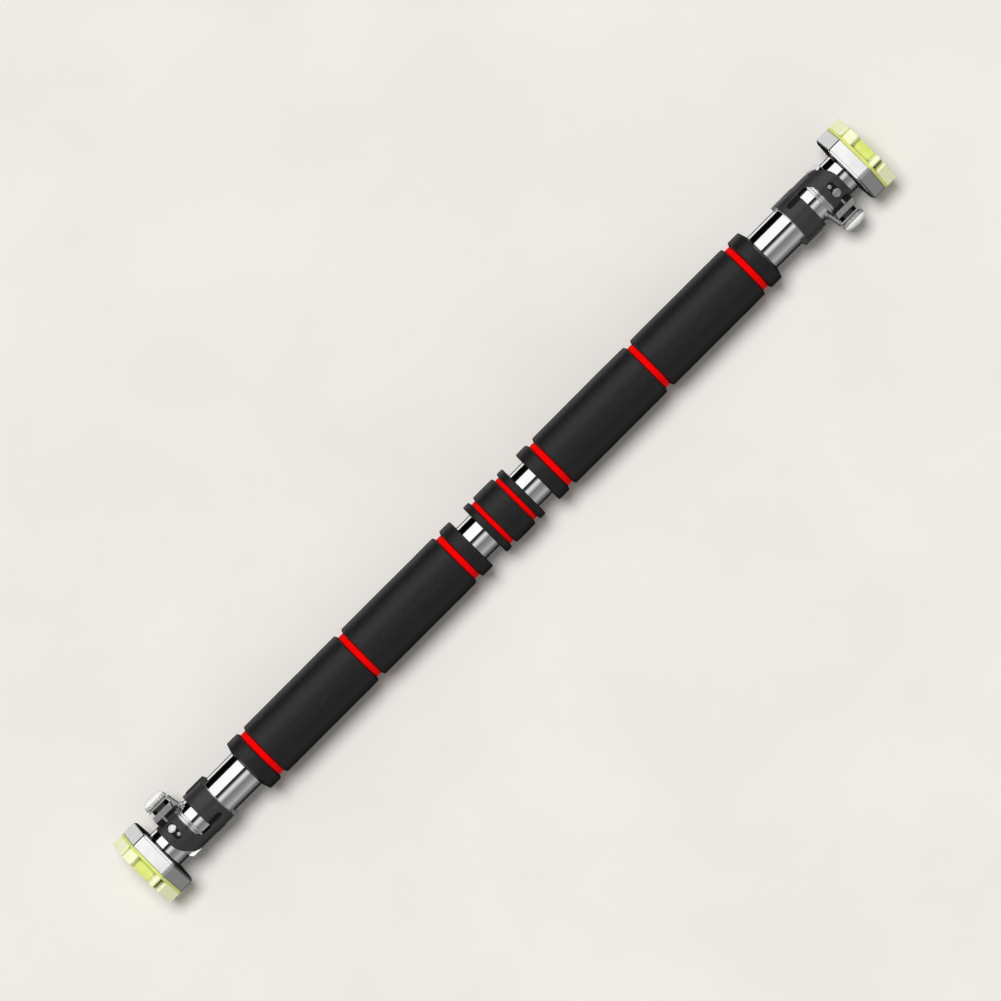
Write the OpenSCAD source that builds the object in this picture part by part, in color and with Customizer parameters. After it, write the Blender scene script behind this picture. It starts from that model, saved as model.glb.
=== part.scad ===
// Doorway pull up bar. A chrome tube with foam grips carries a threaded end at each side. Each end
// screws out of the tube and presses a hexagonal rubber foot on the door frame. A thumb screw in a
// saddle near each end clamps the thread where it is set.
// Millimetres. The origin is the middle of the tube's axis, +X runs along the bar and +Z is up.
// Every lock part is drawn for the +X end and turned half round Z for the -X end. The tube rests
// turned a little round its axis, and the locks lean with it; the feet stand flat.

/* [Main tube] */
// Outside diameter of the chrome tube
tube_d = 32; // [31:0.5:33]
// Wall of the tube
tube_wall = 1.5; // [1.2:0.1:1.6]
// Length of the tube
tube_length = 719.8; // [719:0.1:719.8]

/* [Grips] */
// Outside diameter of the foam sleeves and rings
foam_d = 47; // [42:1:52]
// Outside diameter of the red bands
band_d = 41.5; // [38:0.5:42]
// Where the long grips end, from the middle of the bar
grip_outer = 273.3; // [270:0.1:275]

/* [Threaded ends] */
// Outside diameter of the adjusting thread
thread_d = 24; // [22:1:24]
// How far an end can be driven out
travel = 160; // [80:1:160]

/* [Feet] */
// Hexagonal foot, measured across its corners
foot_corners = 63; // [58:0.1:64]
// Depth of the chrome cup that holds the rubber
cup_depth = 12.8; // [10:0.1:13]
// How far the rubber stands out of the cup
pad_out = 11.8; // [8:0.1:14]

/* [Lock] */
// How far the locks are turned round the bar, in degrees
lock_turn = 6.8; // [0:0.1:10]
// Where the thumb screw stands, from the middle of the bar
lock_x = 339.5; // [339:0.1:340]
// Diameter of the thumb screw's head
knob_d = 20; // [16:0.5:21]
// Diameter of the thumb screw's thread
knob_thread = 8; // [6:1:8]
// Width of the chrome saddle
saddle_w = 19.3; // [18:0.1:19.3]

/* [Hidden] */
$fn = 96;
end_sides = [-1, 1];

tube_r = tube_d / 2;
tube_bore = tube_r - tube_wall;
tube_end = tube_length / 2;
slip = 0.05;            // running clearance on a radius
press = 0.02;           // clearance on a radius between parts that do not move

foam_r = foam_d / 2;
band_r = band_d / 2;
grip_bore = tube_r + slip;

// Faces of the pieces along the centre grip and along a long grip
centre_sleeve_x = 10.6;
centre_band_x = 14.4;
centre_ring_x = 20.8;
grip_x = [35, 46.8, 51.8, 150.6, 155.6, 254.1, 259.1, grip_outer];
groove_bevel = [1.1, 2.2];
centre_bevel = [0.7, 2.2];
square_bevel = [0.5, 1];
end_cone = [2.3, foam_r - grip_bore - 0.2];

thread_r = thread_d / 2;
thread_bore = 9;
nut_x = [296, 326];
thread_start = nut_x[0] - travel - 2;
mouth_x = [349.9, tube_end];
mouth_gap = 0.4;
spindle_r = 6;
spindle_x = [thread_start - 31, thread_start + 16];
guide_x = [thread_start - 19.7, thread_start - 0.4];
guide_washer_x = [thread_start - 22.5, thread_start - 20];
guide_nut_start = thread_start - 30.5;
guide_nut_r = 10.4;
guide_washer_r = 11.6;

foot_r = foot_corners / 2;
cup_wall = 1.5;
cup_plate = 2;
cup_bevel = 2;
cup_x = tube_end + 0.5;
cup_mouth = cup_x + cup_depth;
flange_r = 22;
flange_t = 3;
pad_base = 2.8;
pad_end = cup_mouth + pad_out;
pad_inset = 0.2;
core_r = foot_r - 6.8;
tread_x = cup_mouth + pad_base;
face_grooves = [11.5, 17.5, 23.5];
face_groove_w = 2;
face_groove_depth = 1.5;

// Gaps between the tread blocks, as angles round the foot from its top flat towards +Y
tread_gaps = [[-25, 15.5], [30.5, 41.5], [-48, -33]];

collar_x = [304.5, 322.5];
cover_r = 18.5;
cover_bore = tube_r + slip;
collar_r = 18.9;
finger_x = [335, 353.4];
finger_end = 15.6;

// The land on the collar: its foot and its top along X, its heights off the axis and half its width
land_x = [299.8, 301.3, 318, 322];
land_y = [12, 16.4, 19.5];
land_z = 8;
land_bevel = 3;

corner_r = 18.5;
window_r = 7.8;
window_top = 13;
relief_w = 4.4;
relief_y = 10.4;
relief_depth = 12.5;
keyhole_wide = 7.9;
keyhole_narrow = 6;
keyhole_y = [-12, -8, -1];
keyhole_x = 344.1;

saddle_r = 17.2;
rim_out = 4.7;
saddle_x = [finger_x[0] - rim_out, finger_x[0] - rim_out + saddle_w];
bead_r = 1.3;
lug_r = 18.3;
hole_gap = 0.3;
tongue_x = [342.3, 343.9];
tongue_r = 18.55;
tongue_z = 6;
notch_x = 349.2;
notch_depth = 2.4;
stud_head = 3.7;
stud_top = 18.6;

// The block under the thumb screw: the ends of its foot and of its top along X
block_foot_x = [332.8, 350.8];
block_top_x = [331.2, 349.2];
block_y = [14, 18.1, 23.1];
block_z = 9;
neck_r = 6;
jam_nut_r = 7.5;
jam_nut_y = [23.1, 26.6];

// The plate under the knob, carried by a slanted riser that stands on the tube
plate_x = [329.3, 349];
plate_y = [26.6, 27.8];
plate_z = 9;
riser_foot_x = 327.3;
riser_foot_y = 12;
riser_top_x = 331;
riser_t = 1.8;
washer_y = [27.85, 28.6];
knob_y = [28.65, 31.6, 34.2, 35.6, 36];
knob_taper = [0.3, 2.8, 5.8];
knob_r = knob_d / 2;
knob_flutes = 24;
flute_r = 0.8;
knob_thread_r = knob_thread / 2;
knob_tip = thread_r + 0.3;
knob_socket = 31;

// Turns a shape that stands on Z so that it lies along X
module along_x(from = 0) {
  translate([from, 0, 0]) rotate([0, 90, 0]) children();
}

// A plain ring along X between two faces
module ring_x(x, outer, inner) {
  along_x(x[0])
    difference() {
      cylinder(r = outer, h = x[1] - x[0]);
      translate([0, 0, -1]) cylinder(r = inner, h = x[1] - x[0] + 2);
    }
}

// A ring along X whose outer edges are bevelled; each bevel is [along, inward]
module bevelled_ring(x, outer, bevel_0, bevel_1) {
  length = x[1] - x[0];
  along_x(x[0])
    rotate_extrude()
      polygon([
        [grip_bore, 0],
        [outer - bevel_0[1], 0],
        [outer, bevel_0[0]],
        [outer, length - bevel_1[0]],
        [outer - bevel_1[1], length],
        [grip_bore, length]
      ]);
}

// A six-sided prism along X with a flat on top
module hexagon_x(x, corner_r) {
  along_x(x[0]) rotate([0, 0, 30]) cylinder(r = corner_r, h = x[1] - x[0], $fn = 6);
}

// The lock and thread of an end: side 1 is the +X end, side -1 is turned half round Z, and both lean
module at_end(side) {
  rotate([lock_turn, 0, 0]) rotate([0, 0, side > 0 ? 0 : 180]) children();
}

// The foot of an end: side -1 is the mirror image of side 1
module foot_at(side) {
  if (side > 0) children();
  else mirror([1, 0, 0]) children();
}

// The thumb screw's axis points away from the bar, towards -Y at the +X end
module on_lock_axis(from = 0) {
  translate([lock_x, -from, 0]) rotate([90, 0, 0]) children();
}

module main_tube() {
  color("silver")
    difference() {
      ring_x([-tube_end, tube_end], tube_r, tube_bore);
      for (side = end_sides)
        at_end(side) on_lock_axis(tube_bore - 2) cylinder(r = knob_thread_r + hole_gap, h = 5);
    }
}

// ---- grips ----

module centre_sleeve() {
  color("dimgray")
    bevelled_ring([-centre_sleeve_x, centre_sleeve_x], foam_r, centre_bevel, centre_bevel);
}

module centre_band(side) {
  color("red")
    foot_at(side) ring_x([centre_sleeve_x, centre_band_x], band_r, grip_bore);
}

module centre_ring(side) {
  color("black")
    foot_at(side)
      bevelled_ring([centre_band_x, centre_ring_x], foam_r, centre_bevel, square_bevel);
}

// Piece number i of a long grip lies between faces i and i + 1
module grip_sleeve(side, i) {
  color("dimgray")
    foot_at(side) bevelled_ring([grip_x[i], grip_x[i + 1]], foam_r, groove_bevel, groove_bevel);
}

module grip_band(side, i) {
  color("red")
    foot_at(side) ring_x([grip_x[i], grip_x[i + 1]], band_r, grip_bore);
}

module grip_ring_inner(side) {
  color("black")
    foot_at(side) bevelled_ring([grip_x[0], grip_x[1]], foam_r, square_bevel, groove_bevel);
}

module grip_ring_outer(side) {
  color("black")
    foot_at(side) bevelled_ring([grip_x[6], grip_x[7]], foam_r, groove_bevel, end_cone);
}

// ---- inside the tube ----

module thread_nut(side) {
  color("gray") at_end(side) ring_x(nut_x, tube_bore - press, thread_r + slip);
}

module mouth_ring(side) {
  color("black") at_end(side) ring_x(mouth_x, tube_bore - press, thread_r + mouth_gap);
}

module guide_bush(side) {
  color("ivory") at_end(side) ring_x(guide_x, tube_bore - slip, spindle_r + slip);
}

// ---- the end that turns ----

module screw(side) {
  color("lightgray")
    at_end(side) ring_x([thread_start, cup_x + cup_plate], thread_r, thread_bore);
}

module spindle(side) {
  color("gray")
    at_end(side)
      union() {
        along_x(spindle_x[0]) cylinder(r = spindle_r, h = thread_start - spindle_x[0]);
        along_x(thread_start) cylinder(r = thread_bore - press, h = spindle_x[1] - thread_start);
      }
}

module guide_nut(side) {
  color("gray")
    at_end(side)
      difference() {
        union() {
          hexagon_x([guide_nut_start, guide_washer_x[1]], guide_nut_r);
          along_x(guide_washer_x[0])
            cylinder(r = guide_washer_r, h = guide_washer_x[1] - guide_washer_x[0]);
        }
        ring_bore([guide_nut_start, guide_washer_x[1]], spindle_r + press);
      }
}

module ring_bore(x, r) {
  along_x(x[0] - 1) cylinder(r = r, h = x[1] - x[0] + 2);
}

module cup(side) {
  color("silver")
    foot_at(side)
      difference() {
        hexagon_x([cup_x, cup_mouth], foot_r);
        cup_bevels();
        hexagon_x([cup_x + cup_plate, cup_mouth + 1], foot_r - cup_wall);
        ring_bore([cup_x, cup_x + cup_plate], thread_r + press);
      }
}

// What the bevel takes off the six edges of the cup's back
module cup_bevels() {
  flat = foot_r * cos(30);
  for (i = [0 : 5])
    rotate([60 * i, 0, 0])
      rotate([90, 0, 0])
        linear_extrude(height = 3 * foot_r, center = true)
          polygon([
            [cup_x - 1, flat - cup_bevel - 1],
            [cup_x + cup_bevel + 1, flat + 1],
            [cup_x - 1, flat + 1]
          ]);
}

module foot_flange(side) {
  color("gray")
    foot_at(side) ring_x([cup_x + cup_plate, cup_x + cup_plate + flange_t], flange_r, thread_bore);
}

module pad(side) {
  pocket_x = cup_x + cup_plate + flange_t;
  color("yellowgreen")
    foot_at(side)
      union() {
        hexagon_x([pocket_x, tread_x], foot_r - cup_wall - pad_inset);
        hexagon_x([cup_mouth, tread_x], foot_r - pad_inset);
        difference() {
          hexagon_x([cup_mouth, pad_end], core_r);
          for (r = face_grooves)
            difference() {
              hexagon_x([pad_end - face_groove_depth, pad_end + 1], r);
              hexagon_x([pad_end - face_groove_depth - 1, pad_end + 2], r - face_groove_w);
            }
        }
      }
}

// A wedge whose point is on the axis, between two angles from +Z towards +Y
module gap_wedge(from, to) {
  reach = 2 * foot_r;
  rotate([0, 90, 0])
    linear_extrude(height = pad_end + 10)
      polygon([
        [0, 0],
        [-reach * cos(from), reach * sin(from)],
        [-reach * cos(to), reach * sin(to)]
      ]);
}

module tread(side) {
  color("khaki")
    foot_at(side)
      difference() {
        hexagon_x([tread_x, pad_end], foot_r - pad_inset);
        hexagon_x([tread_x - 1, pad_end + 1], core_r);
        for (gap = tread_gaps, flip = [0, 1])
          mirror([0, 0, flip]) gap_wedge(gap[0], gap[1]);
      }
}

// ---- lock ----

module quarter_disc(r) {
  intersection() {
    circle(r = r);
    square(r);
  }
}

// The opening between the collar and the fingers, with one rounded corner at the arm
module cover_window() {
  deep = 2 * collar_r;
  low_x = collar_x[1];
  round_x = finger_x[0] - window_r;
  round_y = window_top - window_r;
  translate([low_x, -deep]) square([round_x - low_x, deep + window_top]);
  translate([low_x, -deep]) square([finger_x[0] - low_x, deep + round_y]);
  translate([round_x, round_y]) quarter_disc(window_r);
}

// The cover seen from above: a collar, and an arm that runs out along +Y and hooks back
module cover_outline() {
  wide = 2 * collar_r;
  difference() {
    union() {
      translate([collar_x[0], -wide / 2]) square([collar_x[1] - collar_x[0], wide]);
      translate([collar_x[1] - 1, 0]) square([finger_x[1] - corner_r - collar_x[1] + 1, wide / 2]);
      translate([finger_x[1] - corner_r, 0]) quarter_disc(corner_r);
      translate([finger_x[0], -finger_end]) square([finger_x[1] - finger_x[0], finger_end]);
    }
    cover_window();
    translate([collar_x[1] - relief_depth + relief_w / 2, relief_y]) circle(d = relief_w);
    translate([collar_x[1] - relief_depth + relief_w / 2, relief_y - relief_w / 2])
      square([relief_depth, relief_w]);
    translate([keyhole_x, keyhole_y[1]]) circle(d = keyhole_wide);
    translate([keyhole_x, keyhole_y[2]]) circle(d = keyhole_narrow);
    translate([keyhole_x - keyhole_narrow / 2, keyhole_y[1]])
      square([keyhole_narrow, keyhole_y[2] - keyhole_y[1]]);
    translate([tongue_x[0] - 0.1, -finger_end - 1]) square([notch_x - tongue_x[0] + 0.1, notch_depth + 1]);
  }
}

// The land on the collar's knob side, with sloping ends and bevelled long edges
module cover_land() {
  difference() {
    linear_extrude(height = 2 * land_z, center = true)
      polygon([
        [land_x[0], -land_y[0]],
        [land_x[0], -land_y[1]],
        [land_x[1], -land_y[2]],
        [land_x[2], -land_y[2]],
        [land_x[3], -land_y[1]],
        [land_x[3], -land_y[0]]
      ]);
    for (flip = [0, 1])
      mirror([0, 0, flip])
        translate([land_x[0] - 5, -land_y[2], land_z - land_bevel])
          rotate([-45, 0, 0])
            translate([0, -10, 0])
              cube([land_x[3] - land_x[0] + 10, 20, 10]);
  }
}

module lock_cover(side) {
  color("darkslategray")
    at_end(side)
      difference() {
        union() {
          intersection() {
            union() {
              along_x(collar_x[0]) cylinder(r = cover_r, h = finger_x[1] - collar_x[0]);
              along_x(collar_x[0]) cylinder(r = collar_r, h = collar_x[1] - collar_x[0]);
            }
            linear_extrude(height = 60, center = true) cover_outline();
          }
          cover_land();
        }
        ring_bore([land_x[0], collar_x[1]], cover_bore);
        ring_bore([collar_x[1] + 1, finger_x[1]], saddle_r + slip);
      }
}

module saddle(side) {
  color("silver")
    at_end(side)
      difference() {
        union() {
          along_x(saddle_x[0]) cylinder(r = saddle_r, h = saddle_x[1] - saddle_x[0]);
          saddle_bead();
          saddle_lug();
          saddle_tongues();
        }
        ring_bore(saddle_x, tube_r + press);
        on_lock_axis() cylinder(r = knob_thread_r + hole_gap, h = 30);
      }
}

// The rolled rim runs round the knob's side and ends inside the cover's window
module saddle_bead() {
  round_y = window_top - window_r;
  difference() {
    along_x(saddle_x[0] + bead_r) rotate_extrude() translate([saddle_r, 0]) circle(r = bead_r, $fn = 32);
    difference() {
      translate([saddle_x[0] - 1, round_y, -30]) cube([2 * bead_r + 2, 30, 60]);
      translate([finger_x[0] - window_r, round_y, -31]) cylinder(r = window_r - hole_gap, h = 62);
    }
  }
}

// The lug fills the corner that the cover leaves free on the arm's side
module saddle_lug() {
  difference() {
    along_x(lock_x - 4) cylinder(r = lug_r, h = saddle_x[1] - lock_x + 4);
    linear_extrude(height = 60, center = true)
      translate([finger_x[1] - corner_r, 0]) circle(r = corner_r + 0.4);
    translate([0, -60, -30]) cube([500, 60, 60]);
  }
}

// Two folded tongues that stand in the notches at the ends of the fingers
module saddle_tongues() {
  for (flip = [0, 1])
    mirror([0, 0, flip])
      intersection() {
        along_x(tongue_x[0]) cylinder(r = tongue_r, h = tongue_x[1] - tongue_x[0]);
        translate([tongue_x[0] - 1, -tongue_r, tongue_z])
          cube([tongue_x[1] - tongue_x[0] + 2, tongue_r - finger_end + notch_depth, tongue_r]);
      }
}

module cover_studs(side) {
  color("silver")
    at_end(side)
      for (flip = [0, 1])
        mirror([0, 0, flip])
          rotate([asin(-keyhole_y[1] / stud_top), 0, 0])
            difference() {
              translate([keyhole_x, 0, saddle_r - 1]) cylinder(r = stud_head, h = stud_top - saddle_r + 1);
              ring_bore(saddle_x, saddle_r + press);
            }
}

module lock_block(side) {
  color("gray")
    at_end(side)
      difference() {
        union() {
          difference() {
            linear_extrude(height = 2 * block_z, center = true)
              polygon([
                [block_foot_x[0], -block_y[0]],
                [block_foot_x[0], -block_y[1]],
                [block_top_x[0], -block_y[2]],
                [block_top_x[1], -block_y[2]],
                [block_foot_x[1], -block_y[1]],
                [block_foot_x[1], -block_y[0]]
              ]);
            ring_bore(block_foot_x, cover_r + 0.1);
          }
          on_lock_axis(block_y[0]) cylinder(r = neck_r, h = block_y[2] - block_y[0]);
        }
        ring_bore(block_foot_x, saddle_r + press);
        on_lock_axis() cylinder(r = knob_thread_r + slip, h = 40);
      }
}

module jam_nut(side) {
  color("silver")
    at_end(side)
      difference() {
        on_lock_axis(jam_nut_y[0]) cylinder(r = jam_nut_r, h = jam_nut_y[1] - jam_nut_y[0], $fn = 6);
        on_lock_axis() cylinder(r = knob_thread_r + slip, h = 40);
      }
}

module bracket(side) {
  color("silver")
    at_end(side)
      difference() {
        linear_extrude(height = 2 * plate_z, center = true)
          polygon([
            [riser_foot_x, -riser_foot_y],
            [riser_foot_x + riser_t, -riser_foot_y],
            [riser_top_x, -plate_y[0]],
            [plate_x[1], -plate_y[0]],
            [plate_x[1], -plate_y[1]],
            [plate_x[0], -plate_y[1]]
          ]);
        ring_bore(plate_x, tube_r + press);
        ring_bore([riser_foot_x, riser_foot_x + riser_t], tube_r + press);
        on_lock_axis() cylinder(r = knob_thread_r + hole_gap, h = 40);
      }
}

// ---- thumb screw ----

module knob_washer(side) {
  color("gainsboro")
    at_end(side)
      difference() {
        on_lock_axis(washer_y[0]) cylinder(r = knob_r - 1.5, h = washer_y[1] - washer_y[0]);
        on_lock_axis() cylinder(r = knob_thread_r + slip, h = 40);
      }
}

module knob(side) {
  color("silver")
    at_end(side)
      difference() {
        on_lock_axis()
          rotate_extrude()
            polygon([
              [0, knob_y[0]],
              [knob_r, knob_y[0]],
              [knob_r - knob_taper[0], knob_y[1]],
              [knob_r - knob_taper[1], knob_y[2]],
              [knob_r - knob_taper[2], knob_y[3]],
              [0, knob_y[4]]
            ]);
        for (i = [0 : knob_flutes - 1])
          on_lock_axis(knob_y[0] - 1)
            rotate([0, 0, i * 360 / knob_flutes])
              translate([knob_r + 0.35, 0, 0]) cylinder(r = flute_r, h = 12, $fn = 24);
        on_lock_axis(knob_y[0] - 1) cylinder(r = knob_thread_r + press, h = knob_socket - knob_y[0] + 1);
      }
}

module thumb_screw(side) {
  color("lightgray") at_end(side) on_lock_axis(knob_tip) cylinder(r = knob_thread_r, h = knob_socket - knob_tip);
}

main_tube();
centre_sleeve();
centre_band(-1);  // centre_band_left
centre_band(1);  // centre_band_right
centre_ring(-1);  // centre_ring_left
centre_ring(1);  // centre_ring_right
grip_ring_inner(-1);  // left_ring_inner
grip_band(-1, 1);  // left_band_inner
grip_sleeve(-1, 2);  // left_sleeve_inner
grip_band(-1, 3);  // left_band_middle
grip_sleeve(-1, 4);  // left_sleeve_outer
grip_band(-1, 5);  // left_band_outer
grip_ring_outer(-1);  // left_ring_outer
grip_ring_inner(1);  // right_ring_inner
grip_band(1, 1);  // right_band_inner
grip_sleeve(1, 2);  // right_sleeve_inner
grip_band(1, 3);  // right_band_middle
grip_sleeve(1, 4);  // right_sleeve_outer
grip_band(1, 5);  // right_band_outer
grip_ring_outer(1);  // right_ring_outer
thread_nut(-1);  // left_thread_nut
thread_nut(1);  // right_thread_nut
mouth_ring(-1);  // left_mouth_ring
mouth_ring(1);  // right_mouth_ring
lock_cover(-1);  // left_lock_cover
lock_cover(1);  // right_lock_cover
saddle(-1);  // left_saddle
saddle(1);  // right_saddle
cover_studs(-1);  // left_cover_studs
cover_studs(1);  // right_cover_studs
lock_block(-1);  // left_lock_block
lock_block(1);  // right_lock_block
jam_nut(-1);  // left_jam_nut
jam_nut(1);  // right_jam_nut
bracket(-1);  // left_bracket
bracket(1);  // right_bracket
guide_bush(-1);  // left_guide_bush
guide_bush(1);  // right_guide_bush
screw(-1);  // left_screw
screw(1);  // right_screw
spindle(-1);  // left_spindle
spindle(1);  // right_spindle
guide_nut(-1);  // left_guide_nut
guide_nut(1);  // right_guide_nut
cup(-1);  // left_cup
cup(1);  // right_cup
foot_flange(-1);  // left_foot_flange
foot_flange(1);  // right_foot_flange
pad(-1);  // left_pad
pad(1);  // right_pad
tread(-1);  // left_tread
tread(1);  // right_tread
knob_washer(-1);  // left_knob_washer
knob_washer(1);  // right_knob_washer
knob(-1);  // left_knob
knob(1);  // right_knob
thumb_screw(-1);  // left_thumb_screw
thumb_screw(1);  // right_thumb_screw
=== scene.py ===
import math

import bmesh
import bpy
from mathutils import Matrix, Vector, noise


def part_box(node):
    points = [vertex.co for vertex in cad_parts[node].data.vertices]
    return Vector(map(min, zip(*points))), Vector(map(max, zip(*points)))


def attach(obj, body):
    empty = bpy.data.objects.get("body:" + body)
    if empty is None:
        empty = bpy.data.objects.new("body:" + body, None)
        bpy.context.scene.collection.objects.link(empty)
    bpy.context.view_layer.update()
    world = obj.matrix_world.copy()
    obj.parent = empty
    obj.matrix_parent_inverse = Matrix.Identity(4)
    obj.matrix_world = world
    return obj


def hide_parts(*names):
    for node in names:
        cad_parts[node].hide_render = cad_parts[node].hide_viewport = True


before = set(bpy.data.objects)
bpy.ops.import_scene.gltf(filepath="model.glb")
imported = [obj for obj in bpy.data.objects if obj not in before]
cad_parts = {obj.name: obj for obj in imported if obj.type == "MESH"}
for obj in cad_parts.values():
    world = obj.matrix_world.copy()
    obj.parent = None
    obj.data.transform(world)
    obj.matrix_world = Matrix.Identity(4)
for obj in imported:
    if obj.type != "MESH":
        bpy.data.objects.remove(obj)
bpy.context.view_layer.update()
scene = bpy.context.scene

MM = 0.001
SHARP_ANGLE = math.radians(50)
SIDES = {"left": -1, "right": 1}

# Sizes in millimetres, as the CAD has them. An X is measured from the middle of the bar, at its right end.

# Tube, foam and adjusting thread
TUBE_R = 16.0
TUBE_BORE = 14.5
FOAM_R = 23.5
BAND_R = 20.75
FOAM_BORE = 16.05
THREAD_R = 12.0
THREAD_ROOT = 10.7
THREAD_PITCH = 4.0

# Lock: the cover's collar, arm and fingers, and the strap below them
COVER_R = 18.5
COVER_IN = 17.25
COLLAR_R = 18.9
SADDLE_R = 17.2
CORNER_R = 18.5
COLLAR_X = (304.5, 322.5)
COLLAR_BOW = 0.9
FINGER_X = (335.0, 353.4)
FINGER_END = 15.6
WINDOW_R = 7.8
WINDOW_TOP = 13.0
WINDOW_CENTRE = (FINGER_X[0] - WINDOW_R, WINDOW_TOP - WINDOW_R)
NOTCH_X = (342.2, 349.2)
NOTCH = 2.4
KEYHOLE_X = 344.1
SADDLE_X = (330.3, 349.6)
LOCK_TURN = math.radians(6.8)

# The thumb screw and its knob
LOCK_X = 339.5
SCREW_R = 4.0
SCREW_ROOT = 3.3
SCREW_PITCH = 1.25
SCREW_HOLE_R = 4.05
KNOB_R = 10.0
KNOB_FLUTES = 24
FLUTE_DEPTH = 0.55

# Foot
FOOT_CORNER = 31.5
FOOT_APOTHEM = FOOT_CORNER * math.cos(math.pi / 6)
PAD_INSET = 0.2
CORE_CORNER = FOOT_CORNER - 6.8
# Where the tread is open, in degrees from the foot's top flat towards +Y
TREAD_GAPS = [(-25, 15.5), (30.5, 41.5), (138.5, 149.5), (164.5, 205), (213, 228), (312, 327)]


def node_x(node):
    """A CAD node's two faces along X, nearest the middle of the bar first, in millimetres."""
    low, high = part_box(node)
    return tuple(sorted((abs(low.x) / MM, abs(high.x) / MM)))


# ---------------------------------------------------------------- materials

def make_material(name):
    material = bpy.data.materials.new(name)
    material.use_nodes = True
    tree = material.node_tree
    return material, tree, tree.nodes["Principled BSDF"]


def place_coordinates(tree, stretch=(1, 1, 1)):
    """Coordinates that stay with the piece, in millimetres, squeezed along each axis by stretch."""
    coordinates = tree.nodes.new("ShaderNodeTexCoord")
    mapping = tree.nodes.new("ShaderNodeMapping")
    mapping.inputs["Scale"].default_value = [s / MM for s in stretch]
    tree.links.new(coordinates.outputs["Object"], mapping.inputs["Vector"])
    return mapping.outputs["Vector"]


def noise_map(tree, vector, scale, detail=3.0, rough=0.55):
    """Noise whose features are about 1/scale millimetres wide."""
    texture = tree.nodes.new("ShaderNodeTexNoise")
    texture.inputs["Scale"].default_value = scale
    texture.inputs["Detail"].default_value = detail
    texture.inputs["Roughness"].default_value = rough
    tree.links.new(vector, texture.inputs["Vector"])
    return texture.outputs["Fac"]


def cell_map(tree, vector, scale):
    texture = tree.nodes.new("ShaderNodeTexVoronoi")
    texture.inputs["Scale"].default_value = scale
    tree.links.new(vector, texture.inputs["Vector"])
    return texture.outputs["Distance"]


def ramp(tree, value, stops):
    """A colour ramp; stops are (position, colour) and a colour may be one grey value."""
    node = tree.nodes.new("ShaderNodeValToRGB")
    elements = node.color_ramp.elements
    while len(elements) < len(stops):
        elements.new(0.5)
    for element, (position, colour) in zip(elements, stops):
        element.position = position
        rgb = colour if isinstance(colour, tuple) else (colour, colour, colour)
        element.color = (*rgb, 1)
    tree.links.new(value, node.inputs["Fac"])
    return node.outputs["Color"]


def mix_colour(tree, factor, first, second):
    """first where factor is 0 and second where it is 1; each is a socket or a colour."""
    node = tree.nodes.new("ShaderNodeMix")
    node.data_type = "RGBA"
    for socket, value in (("A", first), ("B", second)):
        target = [i for i in node.inputs if i.name == socket and i.type == "RGBA"][0]
        if isinstance(value, tuple):
            target.default_value = (*value, 1)
        else:
            tree.links.new(value, target)
    tree.links.new(factor, node.inputs["Factor"])
    return [o for o in node.outputs if o.type == "RGBA"][0]


def math_node(tree, operation, first, second=None):
    node = tree.nodes.new("ShaderNodeMath")
    node.operation = operation
    for socket, value in zip(node.inputs, (first, second)):
        if value is None:
            continue
        if isinstance(value, (int, float)):
            socket.default_value = value
        else:
            tree.links.new(value, socket)
    return node.outputs[0]


def add_bump(tree, shader, heights):
    """Stacks bumps on the shader; heights are (socket, strength, depth in millimetres)."""
    previous = None
    for height, strength, depth in heights:
        bump = tree.nodes.new("ShaderNodeBump")
        bump.inputs["Strength"].default_value = strength
        bump.inputs["Distance"].default_value = depth * MM
        tree.links.new(height, bump.inputs["Height"])
        if previous is not None:
            tree.links.new(previous, bump.inputs["Normal"])
        previous = bump.outputs["Normal"]
    tree.links.new(previous, shader.inputs["Normal"])


def edge_map(tree, width):
    """Near 1 on edges and 0 on open faces; width is in millimetres."""
    bevel = tree.nodes.new("ShaderNodeBevel")
    bevel.samples = 6
    bevel.inputs["Radius"].default_value = width * MM
    geometry = tree.nodes.new("ShaderNodeNewGeometry")
    product = tree.nodes.new("ShaderNodeVectorMath")
    product.operation = "DOT_PRODUCT"
    tree.links.new(bevel.outputs["Normal"], product.inputs[0])
    tree.links.new(geometry.outputs["Normal"], product.inputs[1])
    return ramp(tree, product.outputs["Value"], [(0.80, 1.0), (0.99, 0.0)])


def metal(name, colour, dull, rough, variation, scratch, wear=0.0, ribs=0.0):
    """A metal with patchy roughness, fine scratches along the bar and, if asked for, worn edges and ribs.

    dull is its colour in the rougher patches and ribs is their pitch in millimetres.
    """
    material, tree, shader = make_material(name)
    place = place_coordinates(tree)
    streaks = place_coordinates(tree, (0.05, 1.6, 1.6))
    patches = noise_map(tree, place, 0.12, 4.0)
    shader.inputs["Metallic"].default_value = 1.0
    base = mix_colour(tree, ramp(tree, patches, [(0.35, 0.0), (0.75, 1.0)]), colour, dull)
    if wear:
        worn = math_node(tree, "MULTIPLY", edge_map(tree, 0.5), wear)
        base = mix_colour(tree, worn, base, tuple(min(1.0, c * 1.25) for c in colour))
    tree.links.new(base, shader.inputs["Base Color"])
    marks = noise_map(tree, streaks, 2.2, 2.0)
    level = ramp(tree, patches, [(0.3, rough), (0.75, rough + variation)])
    tree.links.new(level, shader.inputs["Roughness"])
    heights = [(marks, scratch, 0.02)]
    if ribs:
        parts = tree.nodes.new("ShaderNodeSeparateXYZ")
        tree.links.new(place, parts.inputs["Vector"])
        wave = math_node(tree, "SINE", math_node(tree, "MULTIPLY", parts.outputs["X"], 2 * math.pi / ribs))
        heights.append((wave, 0.5, 0.06))
    add_bump(tree, shader, heights)
    return material


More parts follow.
